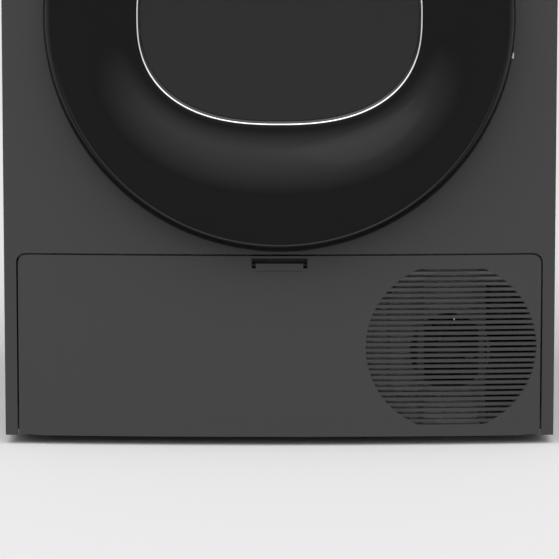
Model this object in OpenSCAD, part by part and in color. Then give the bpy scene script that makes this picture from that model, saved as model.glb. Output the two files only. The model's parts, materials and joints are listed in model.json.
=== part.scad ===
// Free-standing heat-pump clothes dryer, 60 cm class.
// +Z is up, the front faces -Y, and the origin is at the middle of the footprint on the floor.

/* [Cabinet] */
// Width over the side panels
body_w = 596; // [590:1:602]
// Height over the worktop, feet screwed in
body_h = 849; // [845:1:853]
// Depth from the door's crown to the rear duct cover
body_d = 649; // [645:1:655]
// Height of the cabinet's lower edge above the floor
foot_h = 10; // [9:1:11]
// How far the middle of the front stands ahead of its two side edges
front_bow = 12; // [10:1:14]
// Sheet thickness of the steel panels
sheet_t = 1.2; // [1:0.1:1.5]
// Wall thickness of the moulded front parts
wall_t = 3; // [2.5:0.1:3.2]

/* [Door] */
// Outer radius of the door ring
door_r = 252; // [248:1:254]
// Height of the door's centre
door_z = 468; // [466:1:470]
// Depth of the door ring, from its back plane to its crown
door_depth = 35; // [33:1:36]
// Half width of the window
window_a = 150; // [140:1:156]
// Half height of the window
window_b = 113.5; // [110:0.5:122]
// Squareness of the window's outline: 2 is an ellipse
window_n = 2.5; // [2.2:0.1:3]
// Radius of the loading mouth
mouth_r = 200; // [198:1:202]

/* [Service flap] */
// Width of the flap that covers the heat pump
flap_w = 566; // [556:1:568]
// Height of the seam above the flap
flap_top = 208.5; // [206:0.5:210]
// Width of the seams around moving front parts
seam = 1.6; // [1.2:0.1:2]
// Radius of the air grille
grille_r = 92.5; // [88:0.5:94]
// Distance of the grille from the middle of the front
grille_x = 186; // [180:1:188]
// Height of the grille's centre
grille_z = 108.2; // [107:0.2:109]
// Number of air slots
slot_count = 29; // [25:2:31]
// Distance from one air slot to the next
slot_pitch = 6; // [5.6:0.1:6.1]
// Height of one air slot
slot_h = 2.6; // [2.2:0.1:4]

/* [Drum and drive] */
// Outer radius of the drum
drum_r = 270; // [266:1:271]
// Height of the drum's axis
drum_z = 450; // [448:1:452]
// Radius of the motor's belt pulley
pulley_r = 10; // [8:1:12]
// Thickness of the drive belt
belt_t = 1.6; // [1.4:0.1:2]
// Radius of the belt tensioner's roller
idler_r = 14; // [12:1:16]

/* [Hidden] */
$fn = 96;
eps = 0.01;
half_w = body_w / 2;
front_y = -body_d / 2 + door_depth + 1.5;
edge_y = front_y + front_bow;
back_y = body_d / 2 - 24;
bow_r = (half_w * half_w + front_bow * front_bow) / (2 * front_bow);
bow_cy = front_y + bow_r;
top_z = body_h - 17;
fascia_z = 724;
inner_w = half_w - sheet_t;
door_back = -body_d / 2 + door_depth;
hinge_x = door_r - 6;
hinge_y = door_back - 10.5;
hinge_pin_r = 3;
flap_pivot = [0, edge_y + 6, 26];
flap_hinge_x = 266;
pan_y = -252;
pump_x = -250;
hose_x = -286;
hose_y = 214;
flap_half = flap_w / 2;
lever_y = front_y + 7.5;
lever_z = flap_top - 10.8;
grille_half_h = ((slot_count - 1) * slot_pitch + slot_h) / 2;
motor_x = -170;
motor_z = 85;
belt_y = 20;
belt_w = 12;
drum_y0 = -236;
drum_y1 = 244;
fan_z = 96;
cool_fan_x = 184;
cool_fan_z = 100;
fan_plate_x1 = 224;
fan_plate_y = -262;
fan_plate_z1 = 175.6;
tank_x0 = -290;
tank_x1 = -86;
tank_z0 = 740;
tank_z1 = 814;
knob_x = 0;
knob_z = 778;
power_x = -62;
start_x = 262;
foot_x = 264;
foot_y = [-205, 255];
latch_cover_x = [-262, 52];
gray = [0.26, 0.26, 0.27];
dark = [0.06, 0.06, 0.065];
zinc = [0.68, 0.70, 0.72];

// A straight-sided block between two opposite corners
module block(a, b) {
    translate(a) cube(b - a);
}

// A solid cylinder along Y
module y_rod(x, z, r, y0, y1) {
    translate([x, y0, z]) rotate([-90, 0, 0]) cylinder(r = r, h = y1 - y0);
}

// A tube along Y
module y_tube(x, z, r_out, r_in, y0, y1) {
    difference() {
        y_rod(x, z, r_out, y0, y1);
        y_rod(x, z, r_in, y0 - 1, y1 + 1);
    }
}

// A flat outline drawn in X and Z, given its thickness from y0 to y1
module y_plate(y0, y1) {
    translate([0, y1, 0]) rotate([90, 0, 0]) linear_extrude(height = y1 - y0) children();
}

// A solid of revolution about the door's axis, drawn as (radius, distance ahead of the back plane)
module door_turn() {
    translate([0, door_back, door_z]) rotate([90, 0, 0]) rotate_extrude($fn = 128) children();
}

// The slice of the bowed front that lies between two depths behind the front surface
module bow_plan(x_half, depth0, depth1) {
    intersection() {
        translate([0, bow_cy]) difference() {
            circle(r = bow_r - depth0, $fn = 256);
            circle(r = bow_r - depth1, $fn = 256);
        }
        translate([-x_half, front_y - 5]) square([2 * x_half, 90]);
    }
}

module bow_slab(x_half, depth0, depth1, z0, z1) {
    translate([0, 0, z0]) linear_extrude(height = z1 - z0) bow_plan(x_half, depth0, depth1);
}

// Where the bowed front stands at a distance x from the middle
function bow_at(x) = bow_cy - sqrt(bow_r * bow_r - x * x);

// A rectangle in X and Z with round corners
module round_rect(x0, z0, x1, z1, r) {
    translate([x0 + r, z0]) square([x1 - x0 - 2 * r, z1 - z0]);
    translate([x0, z0 + r]) square([x1 - x0, z1 - z0 - 2 * r]);
    for (x = [x0 + r, x1 - r]) for (z = [z0 + r, z1 - r]) translate([x, z]) circle(r = r, $fn = 48);
}

// The window's rounded outline, grown by a margin
function signed_pow(v, e) = sign(v) * pow(abs(v), e);
function window_points(grow) = [for (i = [0:71]) let (t = i * 5)
    [(window_a + grow) * signed_pow(cos(t), 2 / window_n),
     (window_b + grow) * signed_pow(sin(t), 2 / window_n)]];
module window_plate(grow, y0, y1) {
    y_plate(y0, y1) translate([0, door_z]) polygon(window_points(grow));
}

// The flap's outline: rounded upper corners and a lower edge that rises at the hinges
function corner_arc(cx, cz, r, a0) =
    [for (i = [0:8]) let (a = a0 + i * 11.25) [cx + r * cos(a), cz + r * sin(a)]];
module flap_outline(gap) {
    r = 10;
    x = flap_half - gap;
    z1 = flap_top - gap;
    low = foot_h + 1.2;
    polygon(concat([[-x, low], [-272, low], [-262, foot_h], [262, foot_h], [272, low], [x, low]],
        corner_arc(x - r, z1 - r, r, 0), corner_arc(r - x, z1 - r, r, 90)));
}

// ---------- Cabinet ----------

// Moulded tray that carries the heat pump, with bosses for the four feet
module base_pan() {
    color(dark) difference() {
        union() {
            block([-290, pan_y, 12], [290, 296, 15]);
            for (s = [-1, 1]) block([s > 0 ? 287 : -290, pan_y, 15 - eps], [s > 0 ? 290 : -287, 296, 40]);
            for (y = [pan_y, 293]) block([-290, y, 15 - eps], [290, y + 3, 40]);
            for (x = [-foot_x, foot_x]) for (y = foot_y)
                translate([x, y, 12]) cylinder(r = 11, h = 26);
            block([arm_pivot[0] - 9, 40.4, 15 - eps], [arm_pivot[0] + 9, 50, arm_pivot[1]]);
            y_rod(arm_pivot[0], arm_pivot[1], 9, 40.4, 50);
            y_rod(arm_pivot[0], arm_pivot[1], 4, 35, 50);
            for (s = [-1, 1]) {
                x = s * (flap_hinge_x - 16);
                translate([x - 1.7, flap_pivot[1], flap_pivot[2]]) rotate([0, 90, 0])
                    cylinder(r = 5.4, h = 3.4);
                block([x - 1.7, flap_pivot[1], flap_pivot[2] - 4], [x + 1.7, pan_y + 2, flap_pivot[2] + 5]);
                translate([s > 0 ? x : x - 28, flap_pivot[1], flap_pivot[2]]) rotate([0, 90, 0])
                    cylinder(r = 3, h = 28);
            }
        }
        for (x = [-foot_x, foot_x]) for (y = foot_y)
            translate([x, y, 0]) cylinder(r = 4.06, h = 36);
    }
}

// Side sheet with folded edges at the front, rear, top and bottom
module side_panel() {
    x = half_w - sheet_t;
    block([x, edge_y + 5, foot_h], [half_w, back_y, top_z]);
    block([x - 12, edge_y + 5, foot_h], [x + eps, edge_y + 5 + sheet_t, 715]);
    block([x - 14, back_y - sheet_t, foot_h], [x + eps, back_y, top_z]);
}
module left_side_panel() { color(gray) mirror([1, 0, 0]) side_panel(); }
module right_side_panel() { color(gray) side_panel(); }

// Rear sheet: louvres for the cool air, the duct opening and the mains gland's hole
module rear_panel() {
    color(zinc) difference() {
        block([-half_w, back_y, foot_h], [half_w, back_y + sheet_t, top_z]);
        y_rod(0, drum_z, 190, back_y - 1, back_y + 3);
        for (i = [0:9]) block([130, back_y - 1, 40 + i * 12], [250, back_y + 3, 45 + i * 12]);
        y_rod(-255, 60, 9, back_y - 1, back_y + 3);
    }
}

// Pressed round cover over the warm-air duct at the back
module rear_duct_cover() {
    color(zinc) translate([0, back_y + sheet_t, drum_z]) rotate([-90, 0, 0])
        rotate_extrude($fn = 128) polygon([[0, 20.8], [195, 20.8], [213, 1.5], [235, 1.5],
            [235, 0], [211.5, 0], [194, 19], [0, 19]]);
    color(zinc) y_rod(0, drum_z, 60, body_d / 2 - 3, body_d / 2);
}

// Laminated top board with a bowed front edge and a plastic rim
module worktop() {
    color(gray) intersection() {
        block([-half_w, front_y - 1, top_z], [half_w, back_y + sheet_t, body_h]);
        translate([0, bow_cy, 0]) cylinder(r = bow_r - 2, h = 1000, $fn = 256);
    }
}

// Bowed front sheet with the loading mouth and the opening for the service flap
module front_panel() {
    color(gray) difference() {
        union() {
            bow_slab(half_w, 0, wall_t, foot_h, fascia_z - 2);
            for (s = [-1, 1]) block([s > 0 ? half_w - 3 : -half_w, edge_y + 1, foot_h],
                [s > 0 ? half_w : 3 - half_w, edge_y + 4.6, fascia_z - 2]);
        }
        y_rod(0, door_z, mouth_r, front_y - 20, front_y + 30);
        y_plate(front_y - 20, front_y + 22) flap_outline(-seam);
        block([-flap_half - seam, front_y - 20, 0], [flap_half + seam, front_y + 22, 30]);
        block([-200 - 34, front_y - 5, door_z - 9], [-200 - 14, front_y + 20, door_z + 9]);
    }
}

// Bowed control panel with openings for the tank, the knob, two keys and the display
module control_fascia() {
    color(gray) difference() {
        union() {
            bow_slab(half_w, 0, wall_t, fascia_z, top_z - 2);
            bow_slab(half_w - 2, wall_t - eps, 14, top_z - 5, top_z - 2);
            block([half_w - 3, edge_y + 1, fascia_z], [half_w, edge_y + 4.6, top_z - 2]);
            block([-half_w, edge_y + 1, fascia_z], [3 - half_w, edge_y + 4.6, top_z - 2]);
        }
        y_plate(front_y - 10, front_y + 40) round_rect(tank_x0 - seam, tank_z0 - 6 - seam,
            tank_x1 + seam, tank_z1 + 6 + seam, 6);
        y_rod(knob_x, knob_z, 9, front_y - 10, front_y + 40);
        y_rod(power_x, knob_z, 8.2, front_y - 10, front_y + 40);
        y_plate(front_y - 10, front_y + 40) round_rect(start_x - 13.2, knob_z - 13.2,
            start_x + 13.2, knob_z + 13.2, 5);
        y_plate(front_y - 10, front_y + 40) round_rect(66, knob_z - 21, 236, knob_z + 21, 4);
    }
}

// Dark window over the display and its touch keys
module display_window() {
    color(dark) intersection() {
        bow_slab(half_w, 0.4, 2.6, knob_z - 30, knob_z + 30);
        y_plate(front_y - 5, front_y + 40) round_rect(66.2, knob_z - 20.8, 235.8, knob_z + 20.8, 4);
    }
}

// Printed circuit board behind the control panel, with a few components
module control_board() {
    y = edge_y + 22;
    color("darkgreen") block([-76, y, knob_z - 26], [280, y + 1.6, knob_z + 26]);
    color(dark) for (x = [90:40:210]) block([x, y + 1.6 - eps, knob_z - 10], [x + 18, y + 9, knob_z + 8]);
    color(dark) y_rod(knob_x, knob_z, 12, y - 7, y + eps);
}

// Moulded frame that carries the drum's front edge and holds the lint filter
module front_bulkhead() {
    color([0.5, 0.5, 0.52]) difference() {
        union() {
            block([-283, -262, 176], [283, -240, 722]);
            y_rod(0, door_z, mouth_r + 6, -272, -261);
        }
        y_rod(0, door_z, mouth_r - 8, -280, -230);
        block([-110.4, -258.5, 170], [110.4, -245.5, 420]);
        y_tube(0, drum_z, drum_r + 2, drum_r - 8, -246, -230);
        for (s = [-1, 1]) translate([s * 283, -280, 722]) rotate([-90, 45, 0])
            cube([110, 110, 120], center = true);
        y_rod(0, door_z, mouth_r + 1, -273, -266);
    }
}

// Steel bulkhead behind the drum with the bearing's seat and two rings of air holes
module rear_bulkhead() {
    color(zinc) difference() {
        block([-283, 262, 176], [283, 264, 722]);
        y_rod(0, drum_z, 14.05, 250, 280);
        for (ring = [0:1]) for (i = [0:11]) let (a = i * 30 + ring * 15, r = 95 + ring * 45)
            y_rod(r * cos(a), drum_z + r * sin(a), 14, 250, 280);
        y_rod(motor_x, fan_z, 20, 250, 280);
    }
}

// Felt rings that seal the drum's front and rear edges
module drum_seals() {
    color([0.75, 0.74, 0.70]) {
        y_tube(0, drum_z, drum_r - 0.5, drum_r - 6, -245.3, drum_y0 - 0.4);
        y_tube(0, drum_z, 215, 200, 250.4, 262);
    }
}

// Sintered bush in the rear bulkhead that carries the drum's shaft
module rear_bearing() {
    color([0.72, 0.55, 0.30]) difference() {
        union() {
            y_rod(0, drum_z, 14, 256, 276);
            y_rod(0, drum_z, 24, 264, 268);
        }
        y_rod(0, drum_z, 8.05, 250, 280);
    }
}

// Flat belt around the drum and the motor's pulley
belt_dir = atan2(motor_z - drum_z, motor_x);
belt_len = norm([motor_x, motor_z - drum_z]);
drum_wrap_r = drum_r + 0.3;
pulley_wrap_r = pulley_r + 0.3;
belt_lean = acos((drum_wrap_r - pulley_wrap_r) / belt_len);
module belt_outline(grow) {
    hull() {
        translate([0, drum_z]) circle(r = drum_wrap_r + grow, $fn = 180);
        translate([motor_x, motor_z]) circle(r = pulley_wrap_r + grow, $fn = 60);
    }
}
module drum_belt() {
    color(dark) y_plate(belt_y, belt_y + belt_w) difference() {
        belt_outline(belt_t);
        belt_outline(0);
    }
}

// Drum: a rolled steel shell with two beads, held between the bulkheads
module drum_shell() {
    color(zinc) {
        y_tube(0, drum_z, drum_r, drum_r - 1.2, drum_y0, drum_y1);
        y_tube(0, drum_z, drum_r - 1.2 + eps, drum_r - 22, drum_y0, drum_y0 + 1.5);
    }
}

// Pressed rear wall of the drum, with its air holes and the shaft
module drum_back() {
    color([0.78, 0.79, 0.80]) {
        difference() {
            y_rod(0, drum_z, drum_r - 1.3, drum_y1 - 8, drum_y1 - 6);
            for (ring = [0:2]) for (i = [0:17]) let (a = i * 20 + ring * 10, r = 110 + ring * 28)
                y_rod(r * cos(a), drum_z + r * sin(a), 7, drum_y1 - 20, drum_y1 + 10);
        }
        y_rod(0, drum_z, 46, drum_y1 - 6 - eps, drum_y1 + 2);
        y_rod(0, drum_z, 8, drum_y1, 276);
    }
}

// Three hollow paddles that lift the laundry
module drum_lifters() {
    y0 = drum_y0 + 30;
    y1 = drum_y1 - 40;
    color([0.80, 0.80, 0.82]) for (a = [90, 210, 330]) translate([0, 0, drum_z]) rotate([0, a, 0])
        translate([drum_r - 64, 0, 0]) intersection() {
            translate([0, y1, 0]) rotate([90, 0, 0]) linear_extrude(height = y1 - y0)
                polygon([[0, -9], [-5, 0], [0, 9], [70, 34], [70, -34]]);
            translate([64 - drum_r, y0 - 1, 0]) rotate([-90, 0, 0])
                cylinder(r = drum_r - 1.3, h = y1 - y0 + 2);
        }
}

// ---------- Drive ----------

// Induction motor in its cradle
module drum_motor() {
    color([0.35, 0.36, 0.38]) difference() {
        union() {
            y_rod(motor_x, motor_z, 52, 60, 176);
            y_rod(motor_x, motor_z, 40, 52, 60 + eps);
            y_rod(motor_x, motor_z, 40, 176 - eps, 184);
            for (y = [70, 150]) block([motor_x - 55, y, 15], [motor_x + 55, y + 12, motor_z]);
        }
        y_rod(motor_x, motor_z, 6.3, 40, 200);
    }
}

// Motor shaft with the grooved belt pulley
module motor_pulley() {
    color(zinc) {
        y_rod(motor_x, motor_z, 6, 12, 232);
        y_rod(motor_x, motor_z, pulley_r, belt_y - 1, belt_y + belt_w + 1);
        for (y = [belt_y - 4, belt_y + belt_w + 1]) y_rod(motor_x, motor_z, pulley_r + 4, y, y + 3);
    }
}

// Radial fan on the motor's rear shaft end
module process_fan() {
    color(dark) difference() {
        union() {
            y_rod(motor_x, motor_z, 60, 212, 214);
            y_rod(motor_x, motor_z, 14, 214 - eps, 240);
            for (i = [0:17]) translate([motor_x, 214 - eps, motor_z]) rotate([0, i * 20, 0])
                block([34, 0, -1], [59, 30, 1]);
        }
        y_rod(motor_x, motor_z, 6.02, 200, 250);
    }
}

// Scroll housing that leads the fan's air up to the rear duct
module fan_housing() {
    color([0.4, 0.41, 0.43]) difference() {
        union() {
            y_rod(motor_x, motor_z, 68, 206, 256);
            block([motor_x - 10, 206, motor_z], [motor_x + 68, 256, 170]);
        }
        y_rod(motor_x, motor_z, 65, 209, 253);
        block([motor_x - 7, 209, motor_z], [motor_x + 65, 253, 171]);
        y_rod(motor_x, motor_z, 24, 200, 212);
    }
}

// Spring-loaded arm beside the belt's left run
span_n = [cos(belt_dir + belt_lean), sin(belt_dir + belt_lean)];
span_a = [motor_x, motor_z] + span_n * (pulley_wrap_r + belt_t);
span_b = [0, drum_z] + span_n * (drum_wrap_r + belt_t);
span_n2 = [cos(belt_dir - belt_lean), sin(belt_dir - belt_lean)];
left_n = span_n[0] < span_n2[0] ? span_n : span_n2;
left_a = [motor_x, motor_z] + left_n * (pulley_wrap_r + belt_t);
left_b = [0, drum_z] + left_n * (drum_wrap_r + belt_t);
idler_c = left_a + (left_b - left_a) * 0.16 + left_n * (idler_r + 0.35);
arm_pivot = [idler_c[0] - 18, 34];
module tensioner_arm() {
    color(zinc) difference() {
        union() {
            y_plate(belt_y + belt_w + 5, belt_y + belt_w + 8) hull() {
                translate(idler_c) circle(r = 8, $fn = 32);
                translate(arm_pivot) circle(r = 9, $fn = 32);
            }
            y_rod(idler_c[0], idler_c[1], 4, belt_y - 2, belt_y + belt_w + 6);
        }
        y_rod(arm_pivot[0], arm_pivot[1], 4.05, belt_y, 60);
    }
}
module tensioner_roller() {
    color(dark) y_tube(idler_c[0], idler_c[1], idler_r, 4.05, belt_y, belt_y + belt_w + 1);
}

// ---------- Heat pump ----------

// Rotary compressor: a closed steel can with its suction bottle and foot plate
module compressor() {
    color(dark) {
        translate([150, 130, 30]) cylinder(r = 56, h = 130);
        translate([150, 130, 160 - eps]) rotate_extrude()
            polygon([[0, 0], [56, 0], [50, 9], [30, 15], [0, 17]]);
        translate([150, 130, 27]) difference() {
            cylinder(r = 84, h = 3 + eps);
            for (a = [30, 150, 270]) translate([74 * cos(a), 74 * sin(a), -1]) cylinder(r = 5, h = 6);
        }
        translate([228, 130, 60]) cylinder(r = 21, h = 90);
        block([204, 122, 90], [208, 138, 110]);
    }
}

// Rubber grommets under the compressor's foot plate
module compressor_mounts() {
    color(dark) for (a = [30, 150, 270]) translate([150 + 74 * cos(a), 130 + 74 * sin(a), 15]) {
        cylinder(r = 10, h = 12);
        cylinder(r = 4.8, h = 16);
    }
}

// Finned coil: a stack of fins between two end plates, on straight tubes
module finned_coil(y0, y1) {
    x0 = -244;
    x1 = 44;
    for (x = [x0, x1 - 2]) block([x, y0, 16], [x + 2, y1, 166]);
    for (i = [0:22]) block([x0 + 10 + i * 12, y0 + 1, 18], [x0 + 11 + i * 12, y1 - 1, 164]);
    for (z = [46:32:142]) for (y = [y0 + 24, y1 - 24])
        translate([x0 - 6, y, z]) rotate([0, 90, 0]) cylinder(r = 4.5, h = x1 - x0 + 12);
}
module evaporator() { color([0.80, 0.81, 0.82]) finned_coil(-228, -138); }
module condenser() { color([0.80, 0.81, 0.82]) finned_coil(-126, -36); }

// A quarter bend of copper tube from +X towards +Y about the given centre
module pipe_bend(c, r_bend, turn, r_pipe) {
    translate(c) rotate(turn) rotate_extrude(angle = 90) translate([r_bend, 0]) circle(r = r_pipe, $fn = 24);
}

// Copper lines between the compressor and both coils, and the filter drier
module refrigerant_pipes() {
    color([0.80, 0.50, 0.35]) {
        translate([228, 130, 150.3]) cylinder(r = 4, h = 12);
        translate([208, 130, 162.3]) rotate([90, 0, 0]) rotate_extrude(angle = 90)
            translate([20, 0]) circle(r = 4, $fn = 24);
        translate([177.7, 130, 182.3]) rotate([0, 90, 0]) cylinder(r = 4, h = 30.3);
        translate([56, -60, 142]) rotate([0, 90, 0]) cylinder(r = 4, h = 20);
        pipe_bend([76, -40, 142], 20, -90, 4);
        translate([96, -40, 142]) rotate([-90, 0, 0]) cylinder(r = 4, h = 60);
    }
    color([0.75, 0.55, 0.40]) translate([70, -110, 26]) rotate([-90, 0, 0]) cylinder(r = 10, h = 90);
}

// Condensate pump on its sump box
module condensate_pump() {
    color([0.85, 0.85, 0.86]) {
        block([pump_x - 14, 188, 15.3], [pump_x + 14, 238, 60]);
        translate([pump_x, hose_y, 60 - eps]) cylinder(r = 11, h = 38);
        translate([pump_x - 14.9, hose_y, 90]) rotate([0, 90, 0]) cylinder(r = 4.5, h = 14.9);
    }
}

// Hose from the pump up to the tank's sleeve, clipped along the left rear corner
module pump_hose() {
    bend = 21;
    color([0.2, 0.2, 0.21]) {
        translate([hose_x, hose_y, 90 + bend - eps]) difference() {
            cylinder(r = 6.2, h = 606);
            translate([0, 0, -1]) cylinder(r = 4.56, h = 700);
        }
        translate([hose_x + bend - eps, hose_y, 90]) rotate([0, 90, 0]) difference() {
            cylinder(r = 6.2, h = 3.6);
            translate([0, 0, -1]) cylinder(r = 4.56, h = 6);
        }
        translate([hose_x + bend, hose_y, 90 + bend]) rotate([-90, 0, 0]) rotate(90)
            rotate_extrude(angle = 90) translate([bend, 0]) difference() {
                circle(r = 6.2, $fn = 32);
                circle(r = 4.56, $fn = 32);
            }
    }
}

// Guide channel for the water tank
module tank_sleeve() {
    x0 = tank_x0 - 3;
    x1 = tank_x1 + 3;
    color([0.82, 0.82, 0.84]) difference() {
        block([x0, -258, tank_z0 - 5], [x1, 226, tank_z1 + 7]);
        block([x0 + 1.6, -259, tank_z0 - 3.4], [x1 - 1.6, 224, tank_z1 + 5.4]);
    }
    color([0.82, 0.82, 0.84]) translate([hose_x, hose_y, 705]) cylinder(r = 4.5, h = tank_z0 - 5 - 705);
}

// A band that follows the raised field around the fan, between two distances from the field's edge
module fan_plate_outline(outer, inner, y0, y1) {
    intersection() {
        y_plate(y0, y1) difference() {
            round_rect(120 - outer, 51 - outer, 250, 174 + outer, 15 + outer);
            round_rect(120 - inner, 51 - inner, 260, 174 + inner, 15 + inner);
        }
        block([0, y0 - 1, 0], [fan_plate_x1, y1 + 1, fan_plate_z1]);
    }
}

// Frame in front of the cooling fan, with its round air passage
module cooling_fan_frame() {
    color([0.30, 0.31, 0.33]) difference() {
        union() {
            difference() {
                union() {
                    block([84, fan_plate_y, 20], [fan_plate_x1, fan_plate_y + 4, fan_plate_z1]);
                    fan_plate_outline(8.5, -5, fan_plate_y + 4 - eps, fan_plate_y + 8);
                    y_rod(cool_fan_x, cool_fan_z, 45, fan_plate_y + 3, -208);
                    block([126, -248.6, 15.2], [146, -244.6, 60]);
                    block([126, fan_plate_y + 3.9, 46], [146, -244.6, 52]);
                }
                fan_plate_outline(2.6, 0, fan_plate_y - 1, fan_plate_y + 6);
                y_rod(cool_fan_x, cool_fan_z, 42, fan_plate_y - 1, -198);
            }
            for (a = [0:3]) translate([cool_fan_x, -212.5, cool_fan_z]) rotate([0, a * 90 + 45, 0])
                block([10, 0, -2.5], [43.2, 4, 2.5]);
            y_rod(cool_fan_x, cool_fan_z, 16, -218, -200);
        }
        y_rod(cool_fan_x, cool_fan_z, 3.06, -228, -204);
    }
}

// Axial cooling fan: a hub with seven blades on a thin shaft
module cooling_fan() {
    color(dark) {
        y_rod(cool_fan_x, cool_fan_z, 13, -244, -222);
        y_rod(cool_fan_x, cool_fan_z, 3, -222 - eps, -205);
        for (i = [0:6]) translate([cool_fan_x, -232, cool_fan_z]) rotate([0, i * 360 / 7, 0])
            rotate([28, 0, 0]) block([11, -1, -8], [39, 1, 8]);
    }
}

// Removable cover of the heat exchanger's chamber
module heat_exchanger_cover() {
    x0 = latch_cover_x[0];
    x1 = latch_cover_x[1];
    color([0.30, 0.31, 0.33]) difference() {
        union() {
            y_plate(-240, -237) round_rect(x0, 22, x1, 172, 12);
            y_plate(-243.3, -240 + eps) difference() {
                round_rect(x0 + 18, 38, x1 - 18, 156, 10);
                round_rect(x0 + 22, 42, x1 - 22, 152, 8);
            }
        }
        for (x = latch_cover_x) y_rod(x + (x < 0 ? 10 : -10), 97, 3.06, -250, -230);
    }
}

// Turning lever that locks one end of the cover
module cover_latch(x) {
    color([0.20, 0.45, 0.62]) {
        y_rod(x, 97, 3, -240.2, -234.5);
        y_rod(x, 97, 8, -247, -240.2);
        y_plate(-247, -243.5) round_rect(x - 4, 72, x + 4, 97, 3.9);
    }
}
module cover_latch_left() { cover_latch(latch_cover_x[0] + 10); }
module cover_latch_right() { cover_latch(latch_cover_x[1] - 10); }

// ---------- Water tank ----------

// Condensate tank: an open-topped drawer box
module water_tank() {
    color([0.86, 0.87, 0.88]) difference() {
        block([tank_x0, -262, tank_z0], [tank_x1, 214, tank_z1]);
        block([tank_x0 + 2, -260, tank_z0 + 2], [tank_x1 - 2, 212, tank_z1 + 1]);
    }
}

// Front of the tank, flush with the control panel, with a finger recess along its lower edge
module tank_front() {
    color(gray) difference() {
        intersection() {
            bow_slab(half_w, 0, 22, tank_z0 - 6, tank_z1 + 6);
            y_plate(front_y - 5, -262.05) round_rect(tank_x0, tank_z0 - 6, tank_x1, tank_z1 + 6, 4.4);
        }
        block([-240, front_y - 5, tank_z0 - 10], [-136, -264.6, tank_z0 + 12]);
    }
}

// ---------- Service flap ----------

// Bowed flap over the heat pump, with a stiffening rim, the lever's pocket and the grille's opening
module service_flap() {
    px = 30;
    color(gray) difference() {
        union() {
            intersection() {
                bow_slab(flap_half, 0, wall_t, 0, flap_top);
                y_plate(front_y - 5, front_y + 40) flap_outline(0);
            }
            intersection() {
                bow_slab(flap_half, wall_t - eps, 9, 46, flap_top);
                y_plate(front_y - 5, front_y + 40) difference() {
                    flap_outline(1.5);
                    flap_outline(4);
                }
            }
            block([-px - 2, front_y + 1, lever_z - 4.8], [px + 2, front_y + 17, lever_z + 9.6]);
            for (s = [-1, 1]) intersection() {
                block([s * flap_hinge_x - 13, front_y, flap_pivot[2] - 5],
                    [s * flap_hinge_x + 13, flap_pivot[1] - 1, flap_pivot[2] + 5]);
                bow_slab(flap_half, wall_t - eps, 30, 0, flap_top);
            }
            for (s = [-1, 1]) translate([s * flap_hinge_x - 13, flap_pivot[1], flap_pivot[2]])
                rotate([0, 90, 0]) cylinder(r = 6, h = 26);
        }
        block([-px, front_y - 2, lever_z - 2.5], [px, front_y + 15, lever_z + 8]);
        intersection() {
            y_rod(grille_x, grille_z, grille_r, front_y - 10, front_y + 40);
            block([0, front_y - 10, grille_z - grille_half_h],
                [half_w, front_y + 40, grille_z + grille_half_h]);
        }
        for (s = [-1, 1]) translate([s * flap_hinge_x - 14, flap_pivot[1], flap_pivot[2]])
            rotate([0, 90, 0]) cylinder(r = 3.06, h = 28);
        translate([-px - 1.9, lever_y, lever_z]) rotate([0, 90, 0]) cylinder(r = 2.06, h = 2 * px + 3.8);
    }
}

// Slats across the grille's opening, on a ring behind the flap, with two upright ribs
module air_grille() {
    slat_depth = 5;
    rib_depth = 10;
    color(gray) {
        intersection() {
            union() for (i = [0:slot_count - 2])
                block([50, front_y - 2, grille_z - grille_half_h + slot_h + i * slot_pitch],
                    [half_w - 2, front_y + 30, grille_z - grille_half_h + (i + 1) * slot_pitch]);
            y_rod(grille_x, grille_z, grille_r - 0.1, front_y - 2, front_y + 40);
            bow_slab(half_w, 0.1, slat_depth, 0, flap_top);
        }
        intersection() {
            y_tube(grille_x, grille_z, grille_r + 3, grille_r - 1.5, front_y - 2, front_y + 40);
            bow_slab(flap_half - 5.3, wall_t + 0.15, rib_depth, 23, flap_top - 9);
        }
        for (x = [-33, 33]) intersection() {
            block([grille_x + x - 3.5, front_y, grille_z - 84],
                [grille_x + x + 3.5, front_y + 40, grille_z + 84]);
            bow_slab(half_w, slat_depth - 1, rib_depth, 0, flap_top);
        }
    }
}

// Release lever in the flap's pocket: a finger bar on two trunnions, with a lip over the pocket's lower edge
module flap_release_lever() {
    color([0.30, 0.30, 0.31]) {
        block([-25.6, front_y - 2.2, lever_z - 1.6], [25.6, front_y + 9, lever_z + 2.8]);
        block([-25.6, front_y - 2.2, lever_z - 4.9], [25.6, front_y - 0.5, lever_z - 1.6 + eps]);
        translate([-31.8, lever_y, lever_z]) rotate([0, 90, 0]) cylinder(r = 2, h = 63.6);
    }
}

// ---------- Door ----------

// Space inside the door ring that the hinge works in
module hinge_pocket(margin) {
    block([222 - margin, door_back - 22, door_z - 46 - margin], [260, door_back + 8, door_z + 46 + margin]);
}

// Gloss outer ring: a rounded rim and a dished face that sinks towards the window
module door_ring() {
    outer = [[door_r, 0], [door_r, 24], [door_r - 1.5, 29], [door_r - 5, 32.6], [door_r - 20, 35],
        [door_r - 40, 34.2], [door_r - 62, 30], [door_r - 82, 23.5], [door_r - 100, 15.5],
        [door_r - 114, 9.5], [window_b + 1.5, 7]];
    inner = [[window_b + 1.5, 4], [door_r - 114, 6.4], [door_r - 99, 12.3], [door_r - 81, 20.3],
        [door_r - 61, 26.8], [door_r - 40, 31], [door_r - 20, 31.8], [door_r - 7, 29.6],
        [door_r - 4.4, 27], [door_r - 3, 23], [door_r - 3, 0]];
    color(dark) difference() {
        door_turn() polygon(concat(outer, inner));
        window_plate(3.2, -330, -250);
        hinge_pocket(0);
        // Grip recess in the rim's left edge
        block([-door_r - 5, door_back - 16, door_z - 60], [-door_r + 24, door_back + 5, door_z + 60]);
    }
}

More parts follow.
